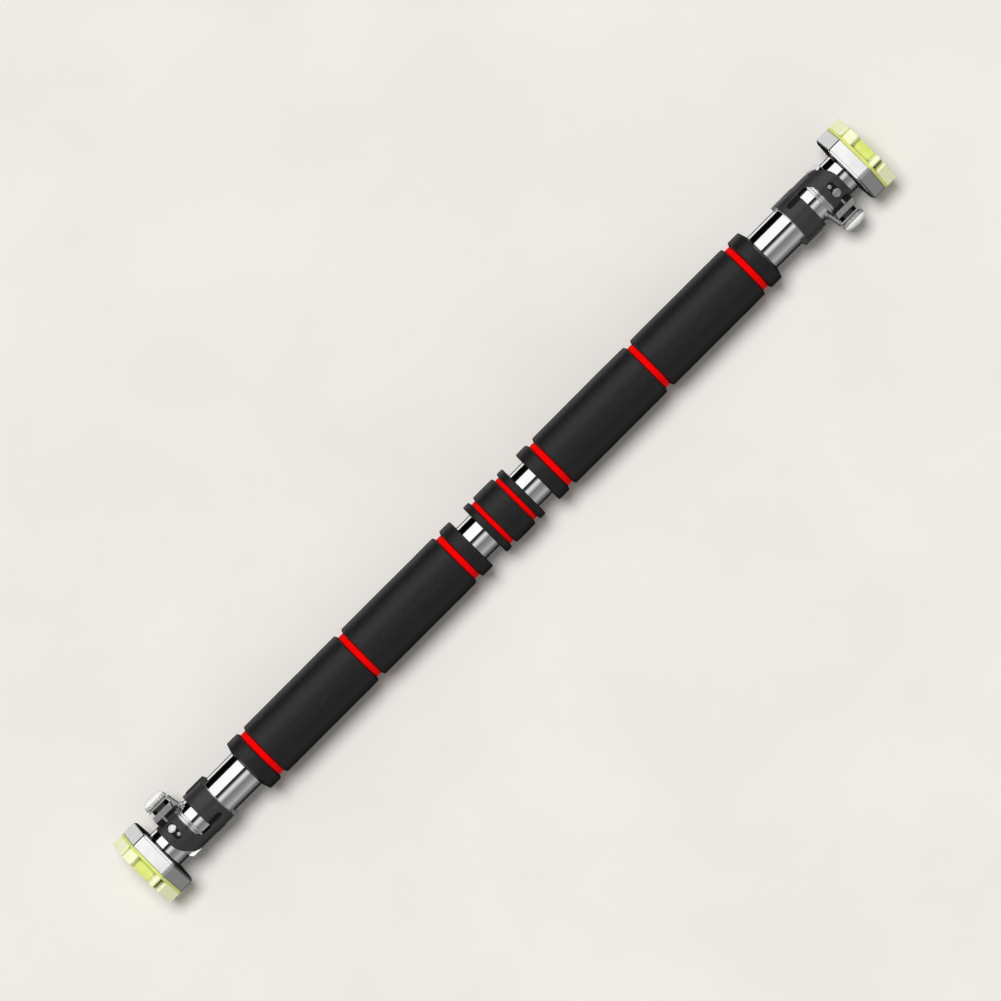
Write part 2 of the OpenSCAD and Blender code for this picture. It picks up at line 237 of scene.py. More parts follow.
def foam(name, low, high, rough, gloss, pore):
    """Closed-cell foam: a matt skin of small pores, mottled between the colours low and high."""
    material, tree, shader = make_material(name)
    place = place_coordinates(tree)
    mottle = noise_map(tree, place, 0.35, 5.0)
    grain = noise_map(tree, place, 1.6, 4.0, 0.7)
    cells = cell_map(tree, place, 1.1)
    colour = mix_colour(tree, ramp(tree, mottle, [(0.3, 0.0), (0.7, 1.0)]), low, high)
    pores = ramp(tree, cells, [(0.05, 0.55), (0.35, 1.0)])
    shade = tree.nodes.new("ShaderNodeMix")
    shade.data_type = "RGBA"
    shade.blend_type = "MULTIPLY"
    shade.inputs["Factor"].default_value = 0.5
    tree.links.new(colour, [i for i in shade.inputs if i.name == "A" and i.type == "RGBA"][0])
    tree.links.new(pores, [i for i in shade.inputs if i.name == "B" and i.type == "RGBA"][0])
    tree.links.new([o for o in shade.outputs if o.type == "RGBA"][0], shader.inputs["Base Color"])
    roughness = ramp(tree, grain, [(0.2, rough - 0.08), (0.8, rough + 0.06)])
    tree.links.new(roughness, shader.inputs["Roughness"])
    shader.inputs["Specular IOR Level"].default_value = gloss
    add_bump(tree, shader, [(mottle, 0.25, 0.35), (grain, 0.30, 0.15), (cells, pore, 0.20)])
    return material


def moulded(name, low, high, rough, texture, worn, wear, scatter=0.0, gloss=0.5, crease_shade=None):
    """Moulded plastic or rubber with a fine texture, mottled between the colours low and high.

    Its edges are rubbed to the colour worn, and a painted shade darkens its creases and recesses towards a
    given dark colour.
    """
    material, tree, shader = make_material(name)
    place = place_coordinates(tree)
    mottle = noise_map(tree, place, 0.16, 4.0)
    grain = noise_map(tree, place, 3.2, 3.0, 0.65)
    colour = mix_colour(tree, ramp(tree, mottle, [(0.3, 0.0), (0.7, 1.0)]), low, high)
    edges = edge_map(tree, 0.6)
    breaks = ramp(tree, noise_map(tree, place, 0.8), [(0.4, 0.3), (0.6, 1.0)])
    rubbed = math_node(tree, "MULTIPLY", edges, breaks)
    colour = mix_colour(tree, math_node(tree, "MULTIPLY", rubbed, wear), colour, worn)
    # Painted shade: occlusion darkens the colour in creases and recesses, where shade would fall.
    if crease_shade:
        hollow = tree.nodes.new("ShaderNodeAmbientOcclusion")
        hollow.samples = 6
        hollow.inputs["Distance"].default_value = 3 * MM
        crease_shade_mask = ramp(tree, hollow.outputs["AO"], [(0.42, 1.0), (0.84, 0.0)])
        colour = mix_colour(tree, crease_shade_mask, colour, crease_shade)
    tree.links.new(colour, shader.inputs["Base Color"])
    shader.inputs["Specular IOR Level"].default_value = gloss
    roughness = ramp(tree, mottle, [(0.25, rough - 0.06), (0.75, rough + 0.08)])
    tree.links.new(roughness, shader.inputs["Roughness"])
    if scatter:
        shader.inputs["Subsurface Weight"].default_value = scatter
        shader.inputs["Subsurface Radius"].default_value = (0.8, 1.0, 0.3)
        shader.inputs["Subsurface Scale"].default_value = 2 * MM
    add_bump(tree, shader, [(mottle, 0.15, 0.2), (grain, texture, 0.06)])
    return material


MATERIALS = {
    "chrome": metal(
        "chrome_plate", (0.88, 0.875, 0.87), dull=(0.83, 0.825, 0.82),
        rough=0.045, variation=0.04, scratch=0.02,
    ),
    "steel": metal(
        "zinc_steel", (0.52, 0.52, 0.53), dull=(0.42, 0.42, 0.44),
        rough=0.30, variation=0.14, scratch=0.35, wear=0.5,
    ),
    "ribbed_steel": metal(
        "ribbed_steel", (0.66, 0.66, 0.66), dull=(0.56, 0.56, 0.57),
        rough=0.42, variation=0.10, scratch=0.30, wear=0.4, ribs=1.5,
    ),
    "dark_steel": metal(
        "dark_steel", (0.20, 0.20, 0.20), dull=(0.12, 0.12, 0.12),
        rough=0.22, variation=0.12, scratch=0.30, wear=0.9,
    ),
    "satin": metal(
        "satin_nickel", (0.92, 0.92, 0.91), dull=(0.85, 0.85, 0.84),
        rough=0.26, variation=0.10, scratch=0.25, wear=0.4,
    ),
    "white_cap": moulded(
        "white_cap", (0.92, 0.92, 0.91), (0.96, 0.96, 0.95), rough=0.34, texture=0.10,
        worn=(0.98, 0.98, 0.97), wear=0.5, gloss=0.6,
    ),
    "grip_foam": foam(
        "grip_foam", (0.0048, 0.0048, 0.0051), (0.0074, 0.0074, 0.0078), rough=0.46, gloss=0.56, pore=0.35
    ),
    "black_foam": foam(
        "ring_foam", (0.0046, 0.0046, 0.0049), (0.0070, 0.0070, 0.0074), rough=0.46, gloss=0.54, pore=0.30
    ),
    "red_foam": foam(
        "red_foam", (0.82, 0.0010, 0.0010), (0.97, 0.0025, 0.0025), rough=0.70, gloss=0.04, pore=0.25
    ),
    "lock_plastic": moulded(
        "lock_plastic", (0.026, 0.026, 0.0265), (0.036, 0.036, 0.037), rough=0.32, texture=0.30,
        worn=(0.13, 0.13, 0.135), wear=0.6, gloss=0.45,
    ),
    "black_plastic": moulded(
        "black_plastic", (0.006, 0.006, 0.006), (0.010, 0.010, 0.010), rough=0.55, texture=0.25,
        worn=(0.04, 0.04, 0.04), wear=0.4, gloss=0.2,
    ),
    "nylon": moulded(
        "nylon", (0.78, 0.76, 0.70), (0.86, 0.84, 0.78), rough=0.40, texture=0.20,
        worn=(0.90, 0.88, 0.84), wear=0.4, scatter=0.2,
    ),
    # The dark olive colours given to the two rubbers are painted shade for their creases and recesses.
    "green_rubber": moulded(
        "green_rubber", (0.64, 0.72, 0.17), (0.74, 0.80, 0.25), rough=0.52, texture=0.30,
        worn=(0.86, 0.90, 0.48), wear=0.5, scatter=0.1, gloss=0.4, crease_shade=(0.20, 0.21, 0.04),
    ),
    "pale_rubber": moulded(
        "pale_rubber", (0.90, 0.91, 0.57), (0.94, 0.95, 0.66), rough=0.50, texture=0.30,
        worn=(0.97, 0.97, 0.82), wear=0.6, scatter=0.1, gloss=0.4, crease_shade=(0.42, 0.43, 0.14),
    ),
}

# ---------------------------------------------------------------- shapes in mesh code

def rounded(points, radius, steps=4):
    """A closed outline with its corners turned into arcs; radius is one number or one for each corner."""
    corners = [Vector(p) for p in points]
    radii = [radius] * len(corners) if isinstance(radius, (int, float)) else radius
    made = []
    for i, (corner, r) in enumerate(zip(corners, radii)):
        before = corners[i - 1] - corner
        after = corners[(i + 1) % len(corners)] - corner
        half = before.angle(after) / 2
        if r <= 0 or half > math.radians(89):
            made.append(corner)
            continue
        cut = min(r / math.tan(half), 0.48 * before.length, 0.48 * after.length)
        r = cut * math.tan(half)
        centre = corner + (before.normalized() + after.normalized()).normalized() * (r / math.sin(half))
        start = corner + before.normalized() * cut - centre
        end = corner + after.normalized() * cut - centre
        turn = start.angle_signed(end)
        for k in range(steps + 1):
            made.append(centre + Matrix.Rotation(-turn * k / steps, 2) @ start)
    return made


def rectangle(low_x, high_x, low_y, high_y):
    return [(low_x, low_y), (low_x, high_y), (high_x, high_y), (high_x, low_y)]


def polygon(reach, count=64):
    """A regular outline whose first corner is on the first axis."""
    turns = [2 * math.pi * k / count for k in range(count)]
    return [Vector((reach * math.cos(turn), reach * math.sin(turn))) for turn in turns]


def refine(points, length):
    """Adds points along a closed outline so that no step is longer than length."""
    made = []
    for i, point in enumerate(points):
        after = points[(i + 1) % len(points)]
        pieces = max(1, math.ceil((after - point).length / length))
        made += [point.lerp(after, k / pieces) for k in range(pieces)]
    return made


def to_mesh(bm, name, remap=None):
    """Turns a bmesh drawn in millimetres into a mesh in metres, smooth between its sharp edges."""
    bmesh.ops.remove_doubles(bm, verts=bm.verts, dist=1e-4)
    if remap:
        for vert in bm.verts:
            vert.co = remap(vert.co)
    bmesh.ops.recalc_face_normals(bm, faces=bm.faces)
    for vert in bm.verts:
        vert.co *= MM
    mesh = bpy.data.meshes.new(name)
    bm.to_mesh(mesh)
    bm.free()
    mesh.shade_smooth()
    mesh.set_sharp_from_angle(angle=SHARP_ANGLE)
    return mesh


def lathe(profile, segments=128, swell=None):
    """A closed profile of (x, r) turned round X. swell(x, angle, r) adds to the radius."""
    bm = bmesh.new()
    rows = []
    for i in range(segments):
        angle = 2 * math.pi * i / segments
        row = []
        for x, r in profile:
            reach = r + (swell(x, angle, r) if swell else 0)
            row.append(bm.verts.new((x, reach * math.sin(angle), reach * math.cos(angle))))
        rows.append(row)
    count = len(profile)
    for i in range(segments):
        near, far = rows[i], rows[(i + 1) % segments]
        for k in range(count):
            after = (k + 1) % count
            bm.faces.new((near[k], far[k], far[after], near[after]))
    return bm


def plate(outlines, low, high, edge, corner=2):
    """A flat piece from low to high along Z with rounded edges.

    The first outline is its rim and the rest are holes; edge is the radius of its edges and corner is how
    finely they are rounded.
    """
    curve = bpy.data.curves.new("plate", "CURVE")
    curve.dimensions = "2D"
    curve.fill_mode = "BOTH"
    curve.bevel_depth = edge
    curve.bevel_resolution = corner
    curve.offset = -edge
    curve.extrude = (high - low) / 2 - edge
    for outline in outlines:
        spline = curve.splines.new("POLY")
        spline.points.add(len(outline) - 1)
        for point, (x, y) in zip(spline.points, outline):
            point.co = (x, y, 0, 1)
        spline.use_cyclic_u = True
    holder = bpy.data.objects.new("plate", curve)
    scene.collection.objects.link(holder)
    graph = bpy.context.evaluated_depsgraph_get()
    mesh = bpy.data.meshes.new_from_object(holder.evaluated_get(graph))
    bm = bmesh.new()
    bm.from_mesh(mesh)
    bpy.data.meshes.remove(mesh)
    bpy.data.objects.remove(holder)
    bpy.data.curves.remove(curve)
    for vert in bm.verts:
        vert.co.z += (low + high) / 2
    bmesh.ops.remove_doubles(bm, verts=bm.verts, dist=1e-3)
    return bm


def bend_round(bm, reference):
    """Wraps a plate round X. Its Y is arc length at the reference radius and its Z is the radius."""
    low = min(v.co.y for v in bm.verts)
    high = max(v.co.y for v in bm.verts)
    step = reference * math.radians(3)
    cut = math.ceil(low / step) * step
    while cut < high:
        geometry = bm.verts[:] + bm.edges[:] + bm.faces[:]
        bmesh.ops.bisect_plane(bm, geom=geometry, dist=1e-5, plane_co=(0, cut, 0), plane_no=(0, 1, 0))
        cut += step
    for vert in bm.verts:
        x, arc, radius = vert.co
        angle = arc / reference
        vert.co = (x, radius * math.sin(angle), radius * math.cos(angle))
    return bm


def hexagon(apothem, corner_radius, steps=4):
    """A hexagon in (y, z) with a flat on top and rounded corners."""
    reach = apothem / math.cos(math.pi / 6)
    turns = [math.radians(30 + 60 * k) for k in range(6)]
    points = [(reach * math.sin(turn), reach * math.cos(turn)) for turn in turns]
    return rounded(points, corner_radius, steps)


def hexagon_loft(levels, corner_radius, steps=4):
    """A solid of hexagons along X; levels are (x, apothem)."""
    bm = bmesh.new()
    rings = []
    for x, apothem in levels:
        rings.append([bm.verts.new((x, p.x, p.y)) for p in hexagon(apothem, corner_radius, steps)])
    for near, far in zip(rings, rings[1:]):
        count = len(near)
        for k in range(count):
            after = (k + 1) % count
            bm.faces.new((near[k], near[after], far[after], far[k]))
    bm.faces.new(rings[0])
    bm.faces.new(rings[-1])
    return bm


def quarter(x, a, dx, da, steps=4):
    """Levels along a rounded edge from (x, a) to (x + dx, a + da), leaving along X."""
    return [
        (x + dx * math.sin(math.pi / 2 * k / steps), a + da * (1 - math.cos(math.pi / 2 * k / steps)))
        for k in range(steps + 1)
    ]


def helix(start, end, crest, root, pitch, hand, segments=40):
    """A threaded rod along X. hand is 1 for a right-handed thread and -1 for a left-handed one."""
    shape = [(0.0, root), (0.2, root), (0.38, crest), (0.62, crest), (0.8, root), (1.0, root)]
    bm = bmesh.new()
    turns = math.ceil((end - start) / pitch) + 2
    rows = []
    for j in range(turns * segments + 1):
        angle = hand * 2 * math.pi * j / segments
        base = start - pitch + pitch * j / segments
        row = []
        for part, radius in shape:
            x = min(max(base + part * pitch, start), end)
            row.append(bm.verts.new((x, radius * math.sin(angle), radius * math.cos(angle))))
        rows.append(row)
    for near, far in zip(rows, rows[1:]):
        for k in range(len(shape) - 1):
            bm.faces.new((near[k], far[k], far[k + 1], near[k + 1]))
    bmesh.ops.remove_doubles(bm, verts=bm.verts, dist=1e-3)
    bmesh.ops.dissolve_degenerate(bm, edges=bm.edges, dist=1e-3)
    bmesh.ops.holes_fill(bm, edges=[e for e in bm.edges if e.is_boundary])
    return bm


def joined(*parts):
    """One bmesh out of several."""
    whole = parts[0]
    for part in parts[1:]:
        mesh = bpy.data.meshes.new("part")
        part.to_mesh(mesh)
        part.free()
        whole.from_mesh(mesh)
        bpy.data.meshes.remove(mesh)
    return whole


def foot_at(mesh, side):
    """The right foot's or mouth's mesh for either end; the left one is its mirror image."""
    if side > 0:
        return mesh
    copy = mesh.copy()
    copy.transform(Matrix.Scale(-1, 4, (1, 0, 0)))
    copy.flip_normals()
    return copy


def lock_at(mesh, side):
    """The right lock's mesh for either end: the left one is turned half round Z, and both lean."""
    copy = mesh.copy()
    if side < 0:
        copy.transform(Matrix.Rotation(math.pi, 4, "Z"))
    copy.transform(Matrix.Rotation(LOCK_TURN, 4, "X"))
    return copy


def add_piece(name, mesh, body, slot, nodes=(), material=None, weighted=True):
    """Puts a mesh into the scene on a body, with the given material or else the material of its slot."""
    obj = bpy.data.objects.new(name, mesh)
    scene.collection.objects.link(obj)
    mesh.materials.clear()
    mesh.materials.append(MATERIALS[material or slot])
    if weighted:
        normals = obj.modifiers.new("face_weights", "WEIGHTED_NORMAL")
        normals.weight = 80
        normals.keep_sharp = True
    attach(obj, body)
    if nodes:
        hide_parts(*nodes)


# ---------------------------------------------------------------- tube and grips

tube_end = node_x("main_tube")[1]
tube_profile = rounded(rectangle(-tube_end, tube_end, TUBE_BORE, TUBE_R), [0.3, 0.5, 0.5, 0.3])
add_piece("tube", to_mesh(lathe(tube_profile, 192), "tube"), "bar", "chrome", ["main_tube"])


# Foam is soft all through; it is drawn a little uneven
# How much foam dips at its cut ends, and over what length
DIP = 0.22
DIP_LENGTH = 3.0
# Its lumps, large and small: height, length along the bar and how many there are round it
LUMPS = [(0.16, 26, 1.3), (0.05, 7, 4)]


def foam_swell(low, high, seed):
    """Foam is never quite even: it dips near its cut ends and is a little lumpy."""
    def swell(x, angle, r):
        if r < FOAM_BORE + 1:
            return 0.0
        edge = min(x - low, high - x)
        depth = (r - FOAM_BORE) / (FOAM_R - FOAM_BORE)
        reach = -DIP * math.exp(-max(edge, 0) / DIP_LENGTH) * depth
        for height, length, round_count in LUMPS:
            y = math.sin(angle) * round_count
            z = math.cos(angle) * round_count
            reach += height * noise.noise(Vector((x / length + seed, y, z)))
        return reach
    return swell


def foam_piece(name, node, slot, bevels, radius=FOAM_R, corner=0.45, side=1):
    """A foam ring on the tube; bevels are ((along, inward), (along, inward)) of its two rims."""
    low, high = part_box(node)
    low, high = low.x / MM, high.x / MM
    (along_0, in_0), (along_1, in_1) = bevels if side > 0 else bevels[::-1]
    points = [(low, FOAM_BORE), (low, radius - in_0)]
    radii = [0.3, corner]
    if in_0:
        points.append((low + along_0, radius))
        radii.append(corner * 1.2)
    if in_1:
        points.append((high - along_1, radius))
        radii.append(corner * 1.2)
    points += [(high, radius - in_1), (high, FOAM_BORE)]
    radii += [corner, 0.3]
    profile = refine(rounded(points, radii), 2.0)
    seed = low * 0.37
    mesh = to_mesh(lathe(profile, 144, foam_swell(low, high, seed)), name)
    add_piece(name, mesh, "bar", slot, [node], weighted=False)


def stripe(name, node, side):
    """A red foam band, which is thinner than its neighbours."""
    foam_piece(name, node, "red_foam", (PLAIN, PLAIN), BAND_R, 0.6, side)


# How far a foam ring's rim is cut back along the bar and inward
GROOVE = (1.1, 2.2)
CENTRE_EDGE = (0.7, 2.2)
SQUARE = (0.5, 1.0)
END_CONE = (2.3, FOAM_R - FOAM_BORE - 0.2)
PLAIN = (0.0, 0.0)

foam_piece("centre_grip", "centre_sleeve", "grip_foam", (CENTRE_EDGE, CENTRE_EDGE))
for end, side in SIDES.items():
    stripe(f"centre_stripe_{end}", f"centre_band_{end}", side)
    foam_piece(f"centre_end_{end}", f"centre_ring_{end}", "black_foam", (CENTRE_EDGE, SQUARE), side=side)
    foam_piece(f"{end}_end_inner", f"{end}_ring_inner", "black_foam", (SQUARE, GROOVE), side=side)
    foam_piece(f"{end}_end_outer", f"{end}_ring_outer", "black_foam", (GROOVE, END_CONE), side=side)
    for place in ("inner", "outer"):
        foam_piece(f"{end}_grip_{place}", f"{end}_sleeve_{place}", "grip_foam", (GROOVE, GROOVE), side=side)
    for place in ("inner", "middle", "outer"):
        stripe(f"{end}_stripe_{place}", f"{end}_band_{place}", side)

# ---------------------------------------------------------------- lock

def plan_to_arc(points, radius=COVER_R):
    """Points of the plan (x, y) as (x, arc length from the top) on a cylinder."""
    return [Vector((x, radius * math.asin(max(-1.0, min(1.0, y / radius))))) for x, y in points]


def circle_points(centre, radius, start, end, steps):
    """Points on a circle in the plan, angles in degrees from +X."""
    angles = [math.radians(start + (end - start) * k / steps) for k in range(steps + 1)]
    return [(centre[0] + radius * math.cos(a), centre[1] + radius * math.sin(a)) for a in angles]


def both_faces(points, radius=COVER_R):
    """The same run of points on the under side of the cylinder, in reverse."""
    return [Vector((p.x, math.pi * radius - p.y)) for p in reversed(points)]


def keyhole():
    """A wide round hole that narrows to a slot, in the plan."""
    wide, narrow, y_wide, y_narrow = 7.9 / 2, 6.0 / 2, -8.0, -1.0
    meet = math.degrees(math.asin(narrow / wide))
    bottom = circle_points((KEYHOLE_X, y_wide), wide, 90 + meet, 450 - meet, 28)
    top = circle_points((KEYHOLE_X, y_narrow), narrow, 0, 180, 16)
    return bottom + top


def cover_arm():
    """The dark cover's arm, which runs along one side of the tube and hooks round it as two fingers."""
    start, stop = FINGER_X
    finger = rounded(
        [
            (stop, 0.0),
            (stop, -FINGER_END),
            (NOTCH_X[1], -FINGER_END),
            (NOTCH_X[1], -FINGER_END + NOTCH),
            (NOTCH_X[0], -FINGER_END + NOTCH),
            (NOTCH_X[0], -FINGER_END),
            (start, -FINGER_END),
            (start, WINDOW_CENTRE[1]),
        ],
        [0, 1.2, 0.4, 0.4, 0.4, 0.4, 0.8, 0],
    )
    outer = circle_points((stop - CORNER_R, 0), CORNER_R, 89.9, 0, 30)
    window = circle_points(WINDOW_CENTRE, WINDOW_R, 0, 90, 16)
    root = COLLAR_X[1] - 6
    top = plan_to_arc(outer + [tuple(p) for p in finger[1:]] + window[1:] + [(root, WINDOW_TOP)])
    rim = top + both_faces(top)
    holes = plan_to_arc(keyhole())
    bm = plate([rim, holes, both_faces(holes)], COVER_IN, COVER_R, 0.35)
    return bend_round(bm, COVER_R)


def finger_shade_sheet():
    """A thin dark sheet between the fingers and the strap, painted shade that the keyhole and the notch
    show.
    """
    low, high = FINGER_X[0] + 0.5, SADDLE_X[1] - 0.4
    reach, gap = 8.0, 0.005
    rim = plan_to_arc(
        [(high, reach), (high, -FINGER_END + 0.3), (low, -FINGER_END + 0.3), (low, reach)], SADDLE_R
    )
    parts = []
    for outline in (rim, both_faces(rim, SADDLE_R)):
        flat = plate([outline], SADDLE_R + gap, COVER_IN - gap, 0.01)
        parts.append(bend_round(flat, SADDLE_R))
    return joined(*parts)


def bow(bm):
    """The collar's edge towards the grip stands back above and below."""
    for vert in bm.verts:
        if vert.co.x < COLLAR_X[0] + 1:
            vert.co.x += COLLAR_BOW * (vert.co.z / COLLAR_R) ** 2
    return bm


def cover_collar():
    """The thick collar at the cover's root, with a relief slot above and below, open to the window."""
    low, high = COLLAR_X
    slot_x, slot_y, slot_w = 310.0, 10.4, 4.4
    seam = -math.pi / 2 * COLLAR_R
    slot = [(high, slot_y - slot_w / 2)]
    slot += circle_points((slot_x + slot_w / 2, slot_y), slot_w / 2, 270, 90, 12)
    slot += [(high, slot_y + slot_w / 2)]
    upper = plan_to_arc(slot, COLLAR_R)
    lower = both_faces(upper, COLLAR_R)
    full = 2 * math.pi * COLLAR_R
    rim = [Vector((low, seam)), Vector((high, seam))] + upper + lower
    rim += [Vector((high, seam + full)), Vector((low, seam + full))]
    return bow(bend_round(plate([rim], FOAM_BORE, COLLAR_R, 0.45), COLLAR_R))


def slot_shade_floor():
    """A dark ring at the bottom of the collar's relief slots, painted shade."""
    low, high = COLLAR_X
    floor_r = 16.9
    return lathe(rounded(rectangle(low + 1.5, high - 0.3, FOAM_BORE, floor_r), 0.2))


def chamfered_block(outline, half, cuts, edge):
    """A prism of the plan outline between z = -half and half, cut by planes and with all edges rounded."""
    bm = bmesh.new()
    bottom = [bm.verts.new((x, y, -half)) for x, y in outline]
    top = [bm.verts.new((x, y, half)) for x, y in outline]
    bm.faces.new(bottom)
    bm.faces.new(top)
    for k in range(len(outline)):
        after = (k + 1) % len(outline)
        bm.faces.new((bottom[k], bottom[after], top[after], top[k]))
    for point, normal in cuts:
        geometry = bm.verts[:] + bm.edges[:] + bm.faces[:]
        bmesh.ops.bisect_plane(
            bm, geom=geometry, dist=1e-4, plane_co=point, plane_no=normal, clear_outer=True
        )
        bmesh.ops.holes_fill(bm, edges=[e for e in bm.edges if e.is_boundary])
    bmesh.ops.recalc_face_normals(bm, faces=bm.faces)
    bmesh.ops.bevel(
        bm, geom=bm.edges[:], offset=edge, segments=3, profile=0.5, affect="EDGES", clamp_overlap=True
    )
    return bm


def cover_land():
    """The raised land on the collar, on the thumb screw's side, with sloping ends and long bevels."""
    outline = [(299.8, -13.5), (299.8, -16.4), (301.3, -19.5), (318, -19.5), (322, -16.4), (322, -13.5)]
    cuts = [((300, -19.5, 5), (0, -1, 1)), ((300, -19.5, -5), (0, -1, -1))]
    return chamfered_block(outline, 8.0, cuts, 0.45)


def lock_block():
    outline = [(332.8, -18.1), (331.2, -23.1), (349.2, -23.1), (350.8, -18.1)]
    return chamfered_block(outline, 9.0, [], 0.6)


def block_gap_shade():
    """Two thin dark slabs between the block and the ends of the fingers, painted shade in the gap between
    them.
    """
    outline = [(333.4, -13.8), (333.4, -18.4), (350.2, -18.4), (350.2, -13.8)]
    inside, outside = 8.2, 8.9
    parts = []
    for flip in (1, -1):
        cut = ((LOCK_X, 0, flip * inside), (0, 0, -flip))
        parts.append(chamfered_block(outline, outside, [cut], 0.2))
    return joined(*parts)


def bracket():
    """The thin plate under the knob, its slanted riser, and the foot that rests on the tube."""
    outline = rounded(
        [(327.3, -15.4), (329.1, -15.4), (331.0, -26.6), (349.0, -26.6), (349.0, -27.8), (329.3, -27.8)],
        [0, 0, 0.5, 0.3, 0.3, 1.2],
    )
    half_width, thickness = 9.0, 1.2
    riser = plate([outline], -half_width, half_width, 0.3)
    foot_low, foot_high = 325.4, 329.3
    reach = TUBE_R + 0.05
    arc = math.asin(half_width / reach) * reach
    start = -math.pi / 2 * reach - arc
    stop = -math.pi / 2 * reach + arc
    foot = rounded([(foot_low, start), (foot_high, start), (foot_high, stop), (foot_low, stop)], 1.2)
    tab = bend_round(plate([foot], reach, reach + thickness, 0.25), reach)
    return joined(riser, tab)


def strap_rims():
    """The two pressed rims on the strap's edge, between the arm on one side of the tube and the other."""
    low = SADDLE_X[0]
    parts = []
    for start, stop, height in ((low, low + 2.1, 1.25), (low + 2.35, low + 4.5, 0.7)):
        middle = (start + stop) / 2
        limit = WINDOW_CENTRE[1] + math.sqrt((WINDOW_R - 0.3) ** 2 - (middle - WINDOW_CENTRE[0]) ** 2)
        limit_arc = math.asin(limit / COVER_R) * SADDLE_R
        around = -math.pi * SADDLE_R - limit_arc
        band = rounded([(start, around), (stop, around), (stop, limit_arc), (start, limit_arc)], 0.2)
        parts.append(bend_round(plate([band], SADDLE_R - 0.4, SADDLE_R + height, 0.45), SADDLE_R))
    return joined(*parts)


def saddle():
    """The chrome strap under the cover's fingers, with a lug above and below in the arm's corner."""
    low, high = SADDLE_X
    strap_bore = 16.02
    parts = [lathe(rounded(rectangle(low + 0.6, high, strap_bore, SADDLE_R), 0.35), 128)]
    reach = CORNER_R + 0.4
    centre = FINGER_X[1] - CORNER_R
    start = math.degrees(math.acos((high - centre) / reach))
    outline = circle_points((centre, 0), reach, 78, start, 14)
    outline += [(high, 16.6), (high - 2.2, 18.9), (outline[0][0], 18.9)]
    for flip in (1, -1):
        slope = ((LOCK_X, 15, flip * 7.0), (0, -0.17, flip * 0.985))
        inner = ((LOCK_X, 0, flip * 1.0), (0, 0, -flip))
        parts.append(chamfered_block(outline, 10.0, [slope, inner], 0.3))
    return joined(*parts)


def tongues():
    """Two folded tongues that stand in the notches at the ends of the fingers."""
    outline = [(342.3, -13.5), (342.3, -18.1), (343.9, -18.1), (343.9, -13.5)]
    inside, outside = 8.9, 11.3
    parts = []
    for flip in (1, -1):
        cut = ((LOCK_X, 0, flip * inside), (0, 0, -flip))
        parts.append(chamfered_block(outline, outside, [cut], 0.25))
    return joined(*parts)


def on_lock_axis(co):
    """From a knob drawn along Z to the thumb screw's axis, which points to -Y at the right end."""
    return Vector((LOCK_X + co.x, -co.z, co.y))


def domed_head(radius, height, x, y, flip):
    """A rivet head that stands on the painted shade sheet at a place of the plan; flip is -1 for the under
    side.
    """
    steps, centre_r = 10, 0.05
    profile = [(0.0, centre_r), (height, centre_r)]
    for k in range(1, steps + 1):
        out = k / steps
        profile.append((height - 0.5 * height * out ** 6, centre_r + (radius - centre_r) * out))
    profile.append((0.0, radius))
    bm = lathe(profile, 48)
    lean = math.asin(y / COVER_R)
    for vert in bm.verts:
        along, side = vert.co.y, vert.co.z
        radial = COVER_IN + vert.co.x
        across = radial * math.sin(lean) + side * math.cos(lean)
        up = radial * math.cos(lean) - side * math.sin(lean)
        vert.co = (x + along, across, up * flip)
    return bm


def cover_studs():
    parts = []
    for flip in (1, -1):
        parts.append(domed_head(radius=3.6, height=1.1, x=KEYHOLE_X, y=-8.2, flip=flip))
        parts.append(domed_head(radius=1.7, height=0.9, x=KEYHOLE_X - 1.0, y=-0.9, flip=flip))
    return joined(*parts)


def fluted(levels):
    """A solid of fluted rings along Z; levels are (height, radius, how deep the flutes are from 0 to 1)."""
    around = KNOB_FLUTES * 8
    bm = bmesh.new()
    rings = []
    for height, reach, flute in levels:
        ring = []
        for k in range(around):
            angle = 2 * math.pi * k / around
            wave = max(0.0, math.cos(KNOB_FLUTES * angle)) ** 1.5
            radius = reach - FLUTE_DEPTH * flute * wave
            ring.append(bm.verts.new((radius * math.cos(angle), radius * math.sin(angle), height)))
        rings.append(ring)
    for near, far in zip(rings, rings[1:]):
        for k in range(around):
            after = (k + 1) % around
            bm.faces.new((near[k], near[after], far[after], far[k]))
    bm.faces.new(rings[0])
    bm.faces.new(rings[-1])
    return bm


def knob():
    """The metal rim of the thumb screw's head, drawn along Z."""
    low, shoulder = 28.65, 31.5
    return fluted([
        (low, KNOB_R - 0.7, 1.0),
        (low + 0.12, KNOB_R - 0.35, 1.0),
        (low + 0.4, KNOB_R - 0.08, 1.0),
        (low + 0.7, KNOB_R, 1.0),
        (shoulder - 0.4, KNOB_R - 0.25, 1.0),
        (shoulder - 0.1, KNOB_R - 0.4, 1.0),
        (shoulder, KNOB_R - 0.9, 1.0),
    ])


def knob_cap():
    """The pale cap on the thumb screw's head."""
    low, top, radius = 31.45, 36.0, KNOB_R - 0.45
    dome_low, steps = low + 0.5, 15
    levels = [(low, radius - 0.4, 1.0), (low + 0.15, radius - 0.05, 1.0), (dome_low, radius, 1.0)]
    for k in range(1, steps):
        turn = math.pi / 2 * k / steps
        reach = radius * math.cos(turn)
        levels.append((dome_low + (top - dome_low) * math.sin(turn), reach, reach / radius))
    return fluted(levels + [(top, 0.3, 0.0)])


def jam_nut():
    corner, low, high = 7.5, 23.1, 26.6
    return plate([rounded(polygon(corner, 6), 0.5), polygon(SCREW_HOLE_R)], low, high, 0.45)


def knob_washer():
    rim_r, low, high = 8.5, 27.85, 28.6
    return plate([polygon(rim_r), polygon(SCREW_HOLE_R)], low, high, 0.18)


